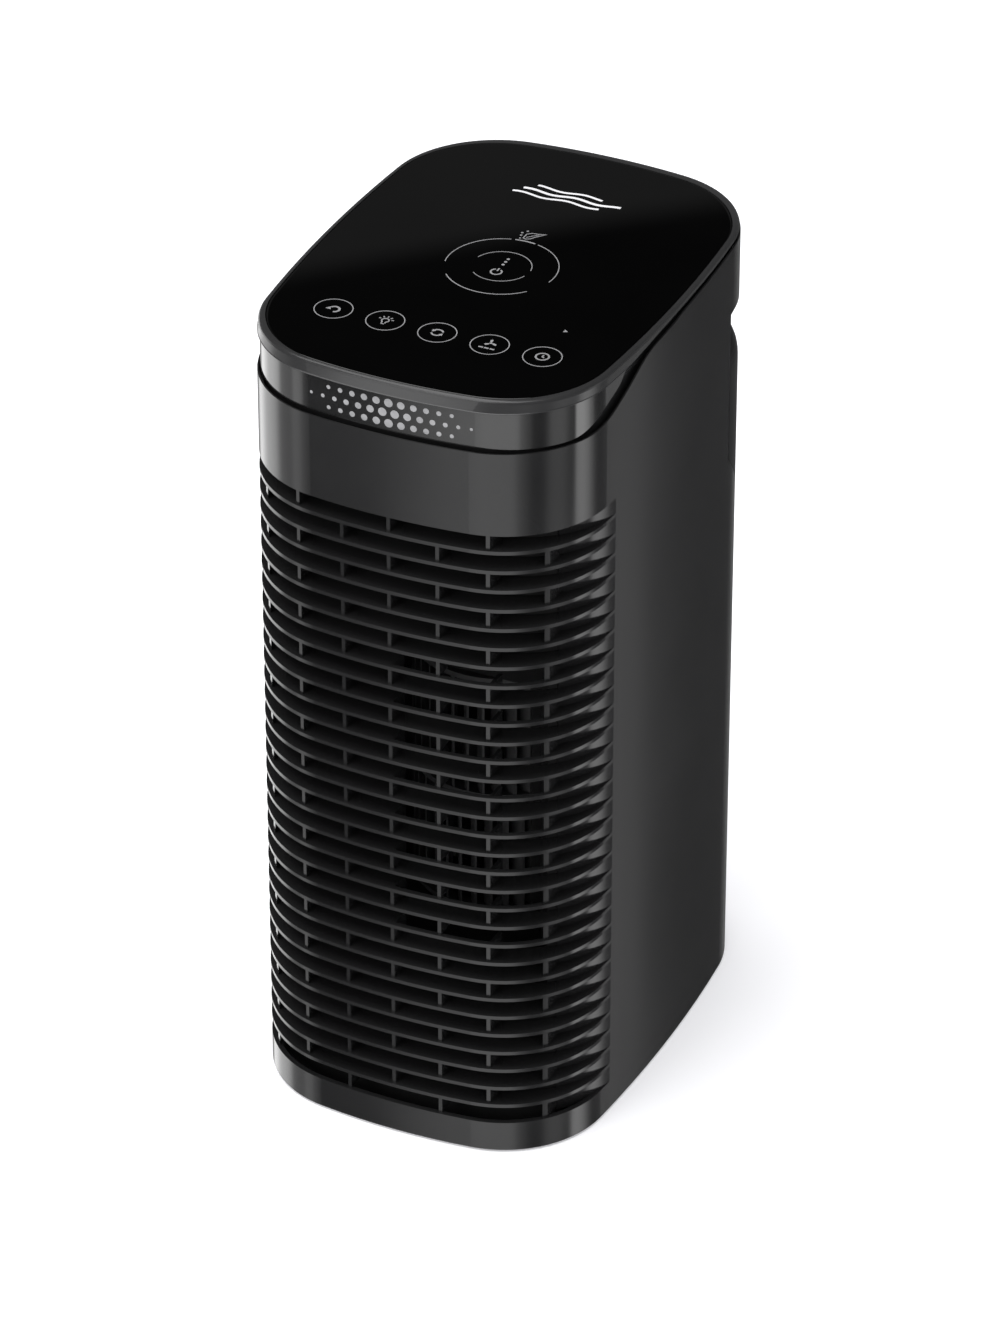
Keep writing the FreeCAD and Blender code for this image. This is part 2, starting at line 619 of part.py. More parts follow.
def motor_endcap():
    cap = rod(0, FAN_Y, MOTOR_HIGH - 4.0, MOTOR_HIGH, MOTOR_R + 1.0)
    cap = cap.makeFillet(1.5, [e for e in cap.Edges if e.BoundBox.ZMin > MOTOR_HIGH - 0.1])
    seat = rod(0, FAN_Y, MOTOR_HIGH - 9.0, MOTOR_HIGH - 4.0, 11.0)
    top = rod(0, FAN_Y, MOTOR_HIGH, MOTOR_HIGH + 2.5, 8.0)
    bore = rod(0, FAN_Y, MOTOR_HIGH - 9.0, MOTOR_HIGH - 3.0, 9.0)
    vents = []
    for k in range(8):
        p = scroll_point(45.0 * k, 20.0)
        vents.append(rod(p.x, p.y, MOTOR_HIGH - 5.0, MOTOR_HIGH + 1.0, 3.0))
    well = rod(0, FAN_Y, MOTOR_HIGH - 4.0, MOTOR_HIGH + 1.5, 6.0)
    return cap.fuse([seat, top]).cut([bore, well] + vents).removeSplitter()


def motor_bearings():
    rings = []
    for low, high in ((MOTOR_LOW + 1.0, MOTOR_LOW + 7.0), (MOTOR_HIGH - 9.0, MOTOR_HIGH - 3.0)):
        rings.append(rod(0, FAN_Y, low, high, 9.0).cut(rod(0, FAN_Y, low, high, SHAFT_R + 0.04)))
    return Part.makeCompound(rings)


def motor_stator():
    low, high = MOTOR_LOW + 9.0, MOTOR_HIGH - 11.0
    ring_ = rod(0, FAN_Y, low, high, MOTOR_R - 1.6).cut(rod(0, FAN_Y, low, high, 20.4))
    slots = []
    for k in range(12):
        slot = box(20.0, 27.0, FAN_Y - 1.5, FAN_Y + 1.5, low, high)
        slot.rotate(V(0, FAN_Y, 0), V(0, 0, 1), 30.0 * k)
        slots.append(slot)
    return ring_.cut(slots)


def motor_rotor():
    low, high = MOTOR_LOW + 9.0, MOTOR_HIGH - 11.0
    return rod(0, FAN_Y, low, high, 20.0).cut(rod(0, FAN_Y, low, high, SHAFT_R + 0.02))


# ---------------------------------------------------------------- filters
def filter_bay():
    """Partition across the body with the four-sided bay that the filters slide into."""
    partition = outline(3.6).common(rect(-FAR, FAR, BAY_FRONT - 2.5, BAY_FRONT))
    partition = prism(partition, UPSTAND_TOP, TRAY_Z)
    bay = box(-BAY_HALF - BAY_T, BAY_HALF + BAY_T, BAY_FRONT, BAY_BACK,
              BAY_LOW - BAY_T, BAY_HIGH + BAY_T)
    inside = box(-BAY_HALF, BAY_HALF, BAY_FRONT, BAY_BACK, BAY_LOW, BAY_HIGH)
    windows = []
    columns, rows = 4, 9
    step_x = (2 * BAY_HALF - 10.0) / columns
    step_z = (BAY_HIGH - BAY_LOW - 10.0) / rows
    for i in range(columns):
        for k in range(rows):
            x = -BAY_HALF + 5.0 + step_x * i
            z = BAY_LOW + 5.0 + step_z * k
            windows.append(box(x + 2.0, x + step_x - 2.0, 50.0, BAY_FRONT + 1.0,
                               z + 2.0, z + step_z - 2.0))
    return partition.fuse(bay.cut(inside)).cut(windows).removeSplitter()


def frame_solid(half, low, high, y0, y1, rim):
    outer = box(-half, half, y0, y1, low, high)
    return outer.cut(box(-half + rim, half - rim, y0 - 1.0, y1 + 1.0, low + rim, high - rim))


def hepa_frame():
    return frame_solid(HEPA_HALF, BAY_LOW + 0.3, BAY_HIGH - 0.7, HEPA_FRONT, HEPA_BACK, 4.0)


def hepa_pleats():
    """Folded filter paper between the frame's walls."""
    half = HEPA_HALF - 4.1
    count = 52
    step = 2 * half / count
    low_y, high_y, t = HEPA_FRONT + 2.0, HEPA_BACK - 2.0, 0.9
    front, back = [], []
    for i in range(count + 1):
        x = -half + step * i
        deep = i % 2
        front.append((x, high_y - t if deep else low_y))
        back.append((x, high_y if deep else low_y + t))
    return prism(plate(front + back[::-1]), BAY_LOW + 4.4, BAY_HIGH - 4.8)


def filter_seal():
    """Foam gasket on the face of the filter frame that meets the bay."""
    return frame_solid(HEPA_HALF, BAY_LOW + 0.3, BAY_HIGH - 0.7, BAY_FRONT, HEPA_FRONT, 5.0)


def filter_pull_tab():
    """Strap loop on the rear of the filter frame."""
    z = BAY_HIGH - 3.0
    strap = box(-12.0, 12.0, HEPA_BACK, HEPA_BACK + 1.2, z - 40.0, z)
    return strap.makeFillet(4.0, [e for e in strap.Edges if abs(e.BoundBox.YMax -
                            e.BoundBox.YMin - 1.2) < 0.01 and e.BoundBox.ZMax < z - 30.0])


def prefilter_frame():
    frame = frame_solid(PRE_HALF, BAY_LOW + 0.3, BAY_HIGH - 0.7, PRE_FRONT, PRE_BACK, 6.0)
    bars = []
    for k in range(1, 4):
        x = -PRE_HALF + PRE_HALF * k / 2
        bars.append(box(x - 1.2, x + 1.2, PRE_BACK - 2.0, PRE_BACK, BAY_LOW + 4.0, BAY_HIGH - 4.0))
    for k in range(1, 8):
        z = BAY_LOW + (BAY_HIGH - BAY_LOW) * k / 8
        bars.append(box(-PRE_HALF + 3.0, PRE_HALF - 3.0, PRE_BACK - 2.0, PRE_BACK, z - 1.2, z + 1.2))
    return frame.fuse(bars).removeSplitter()


def prefilter_mesh():
    """Washable foam sheet held in front of the frame's bars."""
    return box(-PRE_HALF + 6.1, PRE_HALF - 6.1, PRE_FRONT + 0.5, PRE_BACK - 2.1,
               BAY_LOW + 6.4, BAY_HIGH - 6.8)


# ---------------------------------------------------------------- rear cover
def rear_cover():
    shoulder = [(COVER_TOP - drop, outline(inset)) for drop, inset in COVER_SHOULDER]
    outer = prism(outline(0.0), COVER_BOTTOM + GAP, shoulder[0][0]).fuse(stack(shoulder))
    inner = prism(outline(COVER_T), COVER_BOTTOM + GAP + COVER_T, COVER_TOP - COVER_T)
    inner = inner.makeFillet(3.5, [e for e in inner.Edges
                                   if e.BoundBox.ZMin > COVER_TOP - COVER_T - 0.1])
    lip = outline(GRIP_INSET - 0.6)
    lip = lip.cut(rect(-58.0, 58.0, 137.4 - 14.0, FAR))
    shell = outer.cut([inner, prism(lip, COVER_TOP - 10.0, HEIGHT)])
    y0 = COVER_Y + GAP
    y1 = EAR_Y + GAP
    region = side_prism(((y0, 0.0), (y0, EAR_LOW - 0.3), (y1, EAR_HIGH - 0.3), (y1, HEIGHT),
                         (FAR, HEIGHT), (FAR, 0.0)))
    shell = shell.common(region)
    tongues = [box(x - 8.0, x + 8.0, COVER_Y - 8.0, COVER_Y + 8.0, COVER_BOTTOM + GAP + 0.2,
                   COVER_BOTTOM + GAP + COVER_T) for x in (-50.0, 50.0)]
    shelf = box(-16.0, 16.0, 119.0, HALF_D - 2.0, LATCH_SHELF - 2.0, LATCH_SHELF)
    ribs = [box(s * 16.0 - 1.0, s * 16.0 + 1.0, 121.0, HALF_D - 2.0, LATCH_SHELF - 10.0,
                COVER_TOP - 4.5) for s in (-1, 1)]
    inside = prism(outline(1.0), 0.0, COVER_TOP - 1.0)
    body = shell.fuse([p.common(inside) for p in tongues + [shelf] + ribs])
    window = box(-LATCH_HALF - 0.5, LATCH_HALF + 0.5, LATCH_Y - 0.5, LATCH_Y + 7.5,
                 COVER_TOP - 4.0, HEIGHT)
    return body.cut([window] + intake_slots()).removeSplitter()


def intake_slots():
    slots = []
    rows = int((INTAKE_HIGH - INTAKE_LOW) / INTAKE_PITCH)
    for row in range(rows + 1):
        z = INTAKE_LOW + INTAKE_PITCH * row
        for column in range(-2, 3):
            x = column * INTAKE_STEP
            slot = box(x - INTAKE_STEP / 2 + 1.5, x + INTAKE_STEP / 2 - 1.5, 115.0, FAR,
                       z - INTAKE_SLOT / 2, z + INTAKE_SLOT / 2)
            slots.append(slot)
    return slots


def release_latch():
    """Spring button in the cover's top edge, with the hook that holds the cover."""
    body = box(-LATCH_HALF, LATCH_HALF, LATCH_Y, LATCH_Y + 7.0, LATCH_LOW, LATCH_HIGH)
    body = body.makeFillet(1.5, [e for e in body.Edges if e.BoundBox.ZMin > LATCH_HIGH - 0.1])
    hook = box(-8.0, 8.0, LATCH_Y - 8.0, LATCH_Y, LATCH_LOW, LATCH_LOW + 3.0)
    return body.fuse(hook).removeSplitter()


def latch_spring():
    """Serpentine strip spring under the latch button."""
    strip_t = 0.5
    front, back = LATCH_Y + 0.8, LATCH_Y + 6.2
    rise = (LATCH_LOW - LATCH_SHELF - strip_t) / SPRING_BENDS
    half = SPRING_HALF
    legs = []
    for k in range(SPRING_BENDS + 1):
        z = LATCH_SHELF + rise * k
        legs.append(box(-half, half, front, back, z, z + strip_t))
    for k in range(SPRING_BENDS):
        z = LATCH_SHELF + rise * k
        y = back - strip_t if k % 2 else front
        legs.append(box(-half, half, y, y + strip_t, z, z + rise + strip_t))
    return legs[0].fuse(legs[1:]).removeSplitter()


def grip_liner():
    """Recess above the cover for the fingers, deeper in the middle."""
    t = 2.5
    behind = rect(-FAR, FAR, EAR_Y - 2.0, FAR)
    pocket = rect(-POCKET_HALF, POCKET_HALF, POCKET_Y, FAR)
    deeper = rect(-POCKET_HALF - t, POCKET_HALF + t, POCKET_Y - t, FAR)
    front_face = outline(GRIP_INSET + 0.2).cut(pocket)
    back_face = outline(GRIP_INSET + 0.2 + t).cut(deeper)
    wall = prism(front_face.cut(back_face).common(behind), LINER_LOW, LINER_HIGH)
    top = GRIP_EDGE - GRIP_DROP * WALL / GRIP_INSET
    seal = outline(WALL + 0.3).cut(back_face).common(behind)
    roof = prism(seal, top + 1.0, top + 1.0 + t)
    floor_ = prism(outline(GRIP_INSET + 0.2).cut(back_face).common(behind).common(
        rect(-FAR, FAR, -FAR, LATCH_Y - 12.0)), LINER_LOW, LINER_LOW + t)
    return wall.fuse([roof, floor_]).removeSplitter()


def cord_gland():
    """Grommet in the casing's rear wall where the mains lead enters."""
    body = rod_y(GLAND_X, 124.0, 137.2, GLAND_Z, GLAND_R)
    inner = rod_y(GLAND_X, 127.0, 130.0, GLAND_Z, GLAND_R + 1.9)
    outer = rod_y(GLAND_X, 133.0, 137.2, GLAND_Z, GLAND_R + 1.9)
    outer = outer.cut(prism(outline(-0.2), 0.0, 60.0))
    return body.fuse([inner, outer]).cut(rod_y(GLAND_X, 120.0, 140.0, GLAND_Z, CORD_R))


# ---------------------------------------------------------------- electronics
def electronics_tray():
    """Shelf between the air path and the electronics."""
    body = prism(outline(3.6).common(rect(-FAR, FAR, -FAR, EAR_Y - 2.5)), TRAY_Z, TRAY_Z + TRAY_T)
    stands = [rod(x, y, TRAY_Z + TRAY_T, POWER_Z, 3.5) for x, y in power_holes()]
    stands += [rod(x, y, TRAY_Z + TRAY_T, HEAD_LOW, 5.0) for x, y in four(*HEAD_BOSS)]
    rib = prism(outline(3.6).cut(outline(5.6)).common(rect(-FAR, FAR, -FAR, EAR_Y - 2.5)),
                TRAY_Z + TRAY_T, TRAY_Z + 8.0)
    body = body.fuse(stands + [rib])
    cuts = [rod(x, y, TRAY_Z + 1.5, POWER_Z, SCREW_R + 0.05) for x, y in power_holes()]
    cuts += [rod(x, y, TRAY_Z, HEAD_LOW, SCREW_R + 0.3) for x, y in four(*HEAD_BOSS)]
    return body.cut(cuts).removeSplitter()


def power_holes():
    return four(POWER_HALF - 5.0, POWER_FRONT + 5.0, POWER_BACK - 5.0)


def power_board():
    board = box(-POWER_HALF, POWER_HALF, POWER_FRONT, POWER_BACK, POWER_Z, POWER_Z + 1.6)
    return board.cut([rod(x, y, POWER_Z, POWER_Z + 2.0, SCREW_R + 0.2) for x, y in power_holes()])


def power_board_parts():
    z = POWER_Z + 1.6
    parts = [box(-44.0, -16.0, -48.0, -20.0, z, z + 20.0), box(0.0, 14.0, -50.0, -20.0, z, z + 14.0),
             box(24.0, 44.0, -50.0, -44.0, z, z + 8.0), box(24.0, 44.0, -36.0, -26.0, z, z + 10.0)]
    parts += [rod(x, -6.0, z, z + 18.0, 6.0) for x in (-36.0, -20.0)]
    parts += [rod(x, 6.0, z, z + 11.0, 4.0) for x in (4.0, 16.0, 28.0)]
    return Part.makeCompound(parts)


def control_cable():
    """Flat cable from the power board up to the touch board."""
    return box(-9.0, 9.0, 12.0, 13.0, POWER_Z + 1.6, TOUCH_Z)


def air_quality_sensor():
    body = box(40.0, 72.0, 38.0, 66.0, TRAY_Z + TRAY_T, TRAY_Z + TRAY_T + 16.0)
    top = TRAY_Z + TRAY_T + 16.0
    return body.cut([rod(56.0, 52.0, top - 3.0, top, 5.0),
                     box(46.0, 50.0, 42.0, 62.0, top - 2.0, top)])


# ---------------------------------------------------------------- control head
def head_outline(extra, rear=4.3):
    """Plan of the band under the rim, moved in by an inset."""
    return outline(3.2 + extra, 1.3 + extra, rear)


def head_chassis():
    """Deck under the controls, with a skirt that hides behind the casing's edge."""
    body = prism(head_outline(3.0), HEAD_LOW, DECK_Z + 2.5)
    body = body.cut(prism(head_outline(5.2, 6.5), HEAD_LOW - 1.0, DECK_Z))
    stands = [rod(x, y, DECK_Z + 2.5, TOUCH_Z, 3.0) for x, y in touch_holes()]
    bosses = [rod(x, y, HEAD_LOW, DECK_Z, 5.0) for x, y in four(*HEAD_BOSS)]
    body = body.fuse(stands + bosses)
    cuts = [rod(x, y, HEAD_LOW - 1.0, DECK_Z - 4.0, SCREW_R + 0.05) for x, y in four(*HEAD_BOSS)]
    cuts += [rod(x, y, DECK_Z, TOUCH_Z, SCREW_R + 0.05) for x, y in touch_holes()]
    cuts.append(box(-12.0, 12.0, 9.0, 16.0, DECK_Z - 1.0, DECK_Z + 3.0))
    cuts.append(box(-60.0, 60.0, -FAR, -110.0, 436.0, 446.2))
    return body.cut(cuts).removeSplitter()


def indicator_band():
    """Smoked glossy band round the front of the head."""
    body = prism(head_outline(0.0).cut(head_outline(BAND_T)), 420.0, RIM_CURVE[0][1] - 0.2)
    return body.common(box(-FAR, FAR, -FAR, BAND_END, 400.0, 500.0)).common(above(BAND_CURVE))


def control_rim():
    """Satin ring round the glass, deepest at the front, with a small ledge at its foot."""
    sections = [(z, outline(f, s, r)) for z, f, s, r in RIM_SECTIONS]
    ring_ = stack(sections + [(HEIGHT, glass_outline(-GLASS_GAP))]).common(above(RIM_CURVE))
    seat_z = HEIGHT - GLASS_T
    collar = prism(head_outline(3.0), DECK_Z + 2.5, seat_z)
    web = prism(outline(5.0, 1.8, 1.8), RIM_CURVE[0][1] - 0.1, 460.8)
    web = web.common(above(RIM_CURVE, -2.5))
    seat = prism(glass_outline(-GLASS_GAP), seat_z, HEIGHT + 1.0)
    opening = prism(glass_outline(5.0), 440.0, HEIGHT)
    return ring_.fuse([collar, web]).cut([seat, opening]).removeSplitter()


def control_glass():
    glass = prism(glass_outline(), HEIGHT - GLASS_T, HEIGHT)
    return glass.makeChamfer(0.35, [e for e in glass.Edges if e.BoundBox.ZMin > HEIGHT - 0.1])


def touch_holes():
    return four(62.0, -88.0, 70.0)


def touch_board():
    board = box(-72.0, 72.0, -98.0, 80.0, TOUCH_Z, TOUCH_Z + 1.6)
    return board.cut([rod(x, y, TOUCH_Z, TOUCH_Z + 2.0, SCREW_R + 0.2) for x, y in touch_holes()])


def touch_pads():
    """Conductive foam pads that press each sensing spot against the glass."""
    z = TOUCH_Z + 1.6
    pads = [rod(KEY_STEP * k, KEY_Y, z, HEIGHT - GLASS_T, 8.0) for k in range(-2, 3)]
    ring_ = rod(0, DIAL_Y, z, HEIGHT - GLASS_T, 30.0).cut(rod(0, DIAL_Y, z, HEIGHT, 17.0))
    return Part.makeCompound(pads + [ring_, rod(0, DIAL_Y, z, HEIGHT - GLASS_T, 12.0)])


def light_guide():
    """Clear curved strip that spreads the light behind the indicator band."""
    strip = head_outline(BAND_T + 0.3).cut(head_outline(BAND_T + 2.5))
    return prism(strip.common(rect(-58.0, 58.0, -FAR, -100.0)), 437.0, 445.9)


def indicator_board():
    return box(-52.0, 52.0, -119.6, -118.0, 425.0, 445.8)


def indicator_leds():
    """Row of light-emitting diodes facing the guide."""
    leds = [box(x - 1.6, x + 1.6, -121.0, -119.6, 438.0, 441.0) for x in range(-45, 46, 10)]
    return Part.makeCompound(leds)


# ---------------------------------------------------------------- build
def build_all():
    os.makedirs("parts", exist_ok=True)
    whole = casing()
    save("front_grille", whole.common(box(-FAR, FAR, -FAR, SEAM_Y, 0.0, HEIGHT)))
    save("main_shell", whole.common(box(-FAR, FAR, SEAM_Y, FAR, 0.0, HEIGHT)))
    save("base_pan", base_pan())
    save("rubber_feet", rubber_feet())
    save("base_screws", screws(four(BOSS_X, BOSS_FRONT, BOSS_BACK), BASE_LOW, 14.0))
    save("cord_gland", cord_gland())
    save("outlet_baffle", outlet_baffle())
    save("outlet_duct", outlet_duct())
    save("blower_housing_lower", blower_housing(False))
    save("blower_housing_upper", blower_housing(True))
    save("blower_grommets", blower_grommets())
    save("blower_screws", screws(BLOWER_FEET, SCROLL_LOW + 3.0, 16.0, up=-1))
    middle = (FAN_LOW + FAN_HIGH) / 2
    save("fan_blades_lower", fan_half(FAN_LOW + 3.0, middle - 1.5, FAN_LOW, 0.0))
    save("fan_blades_upper", fan_half(middle + 1.5, FAN_HIGH - 3.0, FAN_HIGH - 3.0, 5.0))
    save("fan_plate", fan_plate())
    save("fan_shaft", fan_shaft())
    save("fan_clips", fan_clips())
    save("lower_spider", lower_spider())
    save("shaft_bush", shaft_bush())
    save("motor_mount", motor_mount())
    save("motor_can", motor_can())
    save("motor_endcap", motor_endcap())
    save("motor_bearings", motor_bearings())
    save("motor_stator", motor_stator())
    save("motor_rotor", motor_rotor())
    save("motor_screws", screws(motor_holes(), MOTOR_LOW - 3.5, 5.0))
    save("filter_bay", filter_bay())
    save("hepa_frame", hepa_frame())
    save("hepa_pleats", hepa_pleats())
    save("filter_seal", filter_seal())
    save("filter_pull_tab", filter_pull_tab())
    save("prefilter_frame", prefilter_frame())
    save("prefilter_mesh", prefilter_mesh())
    save("rear_cover", rear_cover())
    save("release_latch", release_latch())
    save("latch_spring", latch_spring())
    save("grip_liner", grip_liner())
    save("electronics_tray", electronics_tray())
    save("power_board", power_board())
    save("power_board_parts", power_board_parts())
    save("power_board_screws", screws(power_holes(), POWER_Z + 1.6, 8.0, up=-1))
    save("control_cable", control_cable())
    save("air_quality_sensor", air_quality_sensor())
    save("head_chassis", head_chassis())
    save("head_screws", screws(four(*HEAD_BOSS), TRAY_Z, 40.0))
    save("indicator_band", indicator_band())
    save("light_guide", light_guide())
    save("indicator_board", indicator_board())
    save("indicator_leds", indicator_leds())
    save("control_rim", control_rim())
    save("control_glass", control_glass())
    save("touch_board", touch_board())
    save("touch_board_screws", screws(touch_holes(), TOUCH_Z + 1.6, 5.0, up=-1))
    save("touch_pads", touch_pads())


build_all()
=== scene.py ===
import json
import math

import bmesh
import bpy
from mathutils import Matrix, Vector


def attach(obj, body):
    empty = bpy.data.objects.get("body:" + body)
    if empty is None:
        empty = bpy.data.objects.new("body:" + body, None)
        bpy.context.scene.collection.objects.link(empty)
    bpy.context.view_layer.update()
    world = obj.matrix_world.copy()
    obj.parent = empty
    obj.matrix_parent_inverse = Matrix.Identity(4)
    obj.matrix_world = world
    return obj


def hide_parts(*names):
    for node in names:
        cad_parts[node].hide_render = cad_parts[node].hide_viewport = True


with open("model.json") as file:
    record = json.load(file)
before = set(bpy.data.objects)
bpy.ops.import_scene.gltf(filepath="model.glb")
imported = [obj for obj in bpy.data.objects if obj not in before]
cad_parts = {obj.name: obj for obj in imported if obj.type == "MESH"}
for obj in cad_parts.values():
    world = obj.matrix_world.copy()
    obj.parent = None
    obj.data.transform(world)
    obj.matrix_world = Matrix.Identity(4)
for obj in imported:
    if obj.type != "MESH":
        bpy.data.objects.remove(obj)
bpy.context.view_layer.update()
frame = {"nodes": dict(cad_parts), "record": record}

MM = 0.001

# ------------------------------------------------------------------ the body's plan, in millimetres
HALF_W = 100.7
HALF_D = 137.4
R_FRONT = 348.4
R_REAR = 341.0
R_SIDE = 905.0
SIDE_MID_Y = 4.0
FRONT_STEPS = 14           # points on each arc of the outline
CORNER_STEPS = 26
SIDE_STEPS = 18
GLASS_PLAN = (6.35, 3.65, 7.15)     # insets of the glass at the front, sides and rear
GLASS_CORNER = 57.35
GLASS_LOW = 459.1
GLASS_TOP = 462.4          # the printed symbols take up the last tenth of a millimetre
GLASS_EDGE_R = 1.0
PRINT_LOW = 462.3
PRINT_TOP = 462.48

# lit dots on the indicator band
BAND_INSET = 3.2           # from the body's front to the band's face
DOT_PITCH = 6.9
DOT_ROWS = ((451.0, 11, 0.94), (445.1, 14, 1.0), (439.2, 11, 0.94))     # height, count, scale
DOT_BIGGEST = 2.55         # radius in the middle of a row
DOT_SHRINK = 1.75          # how much less it is at the ends
DOT_REACH = 46.0
DOT_EASE = 0.9

# touch panel
KEY_Y = -77.0
KEY_STEP = 29.4
KEY_R = 10.0
KEY_LINE = 0.52
DIAL_Y = 0.0
DIAL_R = 29.8
DIAL_INNER_R = 15.8
POINTER = (58.4, -48.2)    # a small mark behind the right-hand key
MITRE_LIMIT = 0.4          # keeps a printed line's sharp corners short

# breeze lines: y, left end, right end, width
WAVES = ((77.8, -30.0, 20.0, 1.6), (82.8, -26.0, 30.0, 1.9), (87.8, -20.0, 18.0, 1.6))
WAVE_STEPS = 48
WAVE_HEIGHT = 1.0
WAVE_LENGTH = 26.0
WAVE_LEAN = 0.6            # how far each line's crests are set on from the last one's

# camera
CAMERA_PLACE = (1.2499, -2.6738, 2.0838)
CAMERA_TARGET = (0.0305, -0.0670, 0.2650)
CAMERA_LENS = 175.9


def circles_meet(c1, r1, c2, r2):
    line = c2 - c1
    gap = line.length
    along = (r1 * r1 - r2 * r2 + gap * gap) / (2 * gap)
    off = math.sqrt(r1 * r1 - along * along)
    unit = line / gap
    foot = c1 + unit * along
    side = Vector((-unit.y, unit.x)) * off
    return max((foot + side, foot - side), key=lambda p: p.x)


def arc_points(centre, radius, start, end, count):
    """Points round a centre; angles in degrees from +X, the last one left out."""
    points = []
    for i in range(count):
        a = math.radians(start + (end - start) * i / count)
        points.append(Vector((centre.x + radius * math.cos(a), centre.y + radius * math.sin(a))))
    return points


def direction(centre, point):
    d = point - centre
    return math.degrees(math.atan2(d.y, d.x))


def plan(insets, corner, more=0.0):
    """The body's outline moved in at the front, sides and rear, anticlockwise from the front."""
    front, side, rear = (value + more for value in insets)
    front_c = Vector((0.0, -HALF_D + R_FRONT))
    rear_c = Vector((0.0, HALF_D - R_REAR))
    side_c = Vector((HALF_W - R_SIDE, SIDE_MID_Y))
    front_r, rear_r, side_r = R_FRONT - front, R_REAR - rear, R_SIDE - side
    corner -= more
    cf = circles_meet(front_c, front_r - corner, side_c, side_r - corner)
    cr = circles_meet(rear_c, rear_r - corner, side_c, side_r - corner)
    front_end = direction(front_c, cf)
    side_start = direction(side_c, cf)
    side_end = direction(side_c, cr)
    rear_start = direction(rear_c, cr)
    right = arc_points(front_c, front_r, -90.0, front_end, FRONT_STEPS)
    right += arc_points(cf, corner, front_end, side_start, CORNER_STEPS)
    right += arc_points(side_c, side_r, side_start, side_end, SIDE_STEPS)
    right += arc_points(cr, corner, side_end, rear_start, CORNER_STEPS)
    right += arc_points(rear_c, rear_r, rear_start, 90.0, FRONT_STEPS)
    right.append(Vector((0.0, HALF_D - rear)))
    left = [Vector((-p.x, p.y)) for p in right[1:-1]]
    return right + left[::-1]


# ------------------------------------------------------------------ mesh helpers
def finish_mesh(bm, name, material, body, smooth_angle=None):
    bmesh.ops.recalc_face_normals(bm, faces=bm.faces[:])
    mesh = bpy.data.meshes.new(name)
    bm.to_mesh(mesh)
    bm.free()
    if smooth_angle is not None:
        mesh.shade_smooth()
        mesh.set_sharp_from_angle(angle=math.radians(smooth_angle))
    obj = bpy.data.objects.new(name, mesh)
    bpy.context.scene.collection.objects.link(obj)
    mesh.materials.append(material)
    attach(obj, body)
    return obj


def prism(bm, points, low, high):
    """A closed solid over a flat polygon given in millimetres."""
    bottom = [bm.verts.new((p[0] * MM, p[1] * MM, low * MM)) for p in points]
    top = [bm.verts.new((p[0] * MM, p[1] * MM, high * MM)) for p in points]
    bm.faces.new(top)
    bm.faces.new(bottom[::-1])
    n = len(points)
    for i in range(n):
        j = (i + 1) % n
        bm.faces.new((bottom[i], bottom[j], top[j], top[i]))


def stroke(bm, points, width, closed=False, low=PRINT_LOW, high=PRINT_TOP):
    """A printed line of even width along a path given in millimetres."""
    points = [Vector(p) for p in points]
    n = len(points)
    left, right = [], []
    for i, p in enumerate(points):
        before = points[i - 1] if closed or i else None
        after = points[(i + 1) % n] if closed or i < n - 1 else None
        ways = [(b - a).normalized() for a, b in ((before, p), (p, after))
                if a is not None and b is not None]
        normals = [Vector((-w.y, w.x)) for w in ways]
        middle = sum(normals, Vector((0.0, 0.0))).normalized()
        reach = width / 2 / max(MITRE_LIMIT, middle.dot(normals[0]))
        left.append(p + middle * reach)
        right.append(p - middle * reach)
    rails = []
    for rail, z in ((left, high), (right, high), (right, low), (left, low)):
        rails.append([bm.verts.new((p.x * MM, p.y * MM, z * MM)) for p in rail])
    spans = n if closed else n - 1
    for i in range(spans):
        j = (i + 1) % n
        for a, b in ((0, 1), (1, 2), (2, 3), (3, 0)):
            bm.faces.new((rails[a][i], rails[a][j], rails[b][j], rails[b][i]))
    if not closed:
        bm.faces.new([rail[0] for rail in rails])
        bm.faces.new([rail[-1] for rail in rails[::-1]])


def arc(x, y, r, start, end, step=6.0):
    count = max(3, int(abs(end - start) / step) + 1)
    angles = [math.radians(start + (end - start) * i / (count - 1)) for i in range(count)]
    return [(x + r * math.cos(a), y + r * math.sin(a)) for a in angles]


def ring(bm, x, y, r, width):
    stroke(bm, arc(x, y, r, 0.0, 360.0, 5.0)[:-1], width, closed=True)


def dot(bm, x, y, r, sides=20):
    prism(bm, [(x + r * math.cos(2 * math.pi * k / sides), y + r * math.sin(2 * math.pi * k / sides))
               for k in range(sides)], PRINT_LOW, PRINT_TOP)


def turned(points, x, y, angle):
    a = math.radians(angle)
    c, s = math.cos(a), math.sin(a)
    return [(x + px * c - py * s, y + px * s + py * c) for px, py in points]


def arrow_head(bm, x, y, angle, size):
    """A filled triangle whose tip points along the angle."""
    shape = [(size, 0.0), (-0.6 * size, 0.85 * size), (-0.6 * size, -0.85 * size)]
    prism(bm, turned(shape, x, y, angle), PRINT_LOW, PRINT_TOP)


# ------------------------------------------------------------------ materials
def new_material(name):
    mat = bpy.data.materials.new(name)
    mat.use_nodes = True
    nodes = mat.node_tree.nodes
    nodes.clear()
    out = nodes.new("ShaderNodeOutputMaterial")
    shader = nodes.new("ShaderNodeBsdfPrincipled")
    mat.node_tree.links.new(shader.outputs["BSDF"], out.inputs["Surface"])
    return mat, nodes, mat.node_tree.links, shader


def noise(nodes, links, coords, scale, detail=3.0, roughness=0.5):
    node = nodes.new("ShaderNodeTexNoise")
    node.inputs["Scale"].default_value = scale
    node.inputs["Detail"].default_value = detail
    node.inputs["Roughness"].default_value = roughness
    links.new(coords, node.inputs["Vector"])
    return node.outputs["Fac"]


